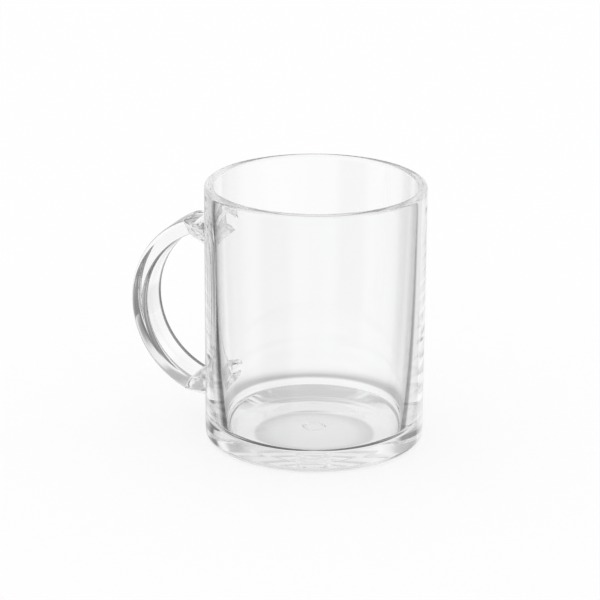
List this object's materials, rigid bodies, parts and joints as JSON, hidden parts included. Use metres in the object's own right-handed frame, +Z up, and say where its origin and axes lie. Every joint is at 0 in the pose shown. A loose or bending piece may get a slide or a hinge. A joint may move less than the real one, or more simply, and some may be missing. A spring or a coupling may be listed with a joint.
{
  "type": "glass mug",
  "caption": "Clear straight-sided glass mug with a rounded rim, a hollow foot and a flat C-shaped strap handle welded to its wall.",
  "frame": {"origin": "centre of the foot ring, on the plane that the mug stands on", "axes": "+Z up along the axis of the round body, -X towards the handle, which is symmetric about the XZ plane"},
  "size_m": [0.1102, 0.08, 0.096],
  "materials": {
    "clear_glass": "clear, neutral, fire-polished soda-lime glass",
    "handle_glass": "clear, neutral, pressed soda-lime glass with soft rounded edges"
  },
  "bodies": {
    "root": {"body": "clear_glass", "handle": "handle_glass"}
  },
  "joints": []
}
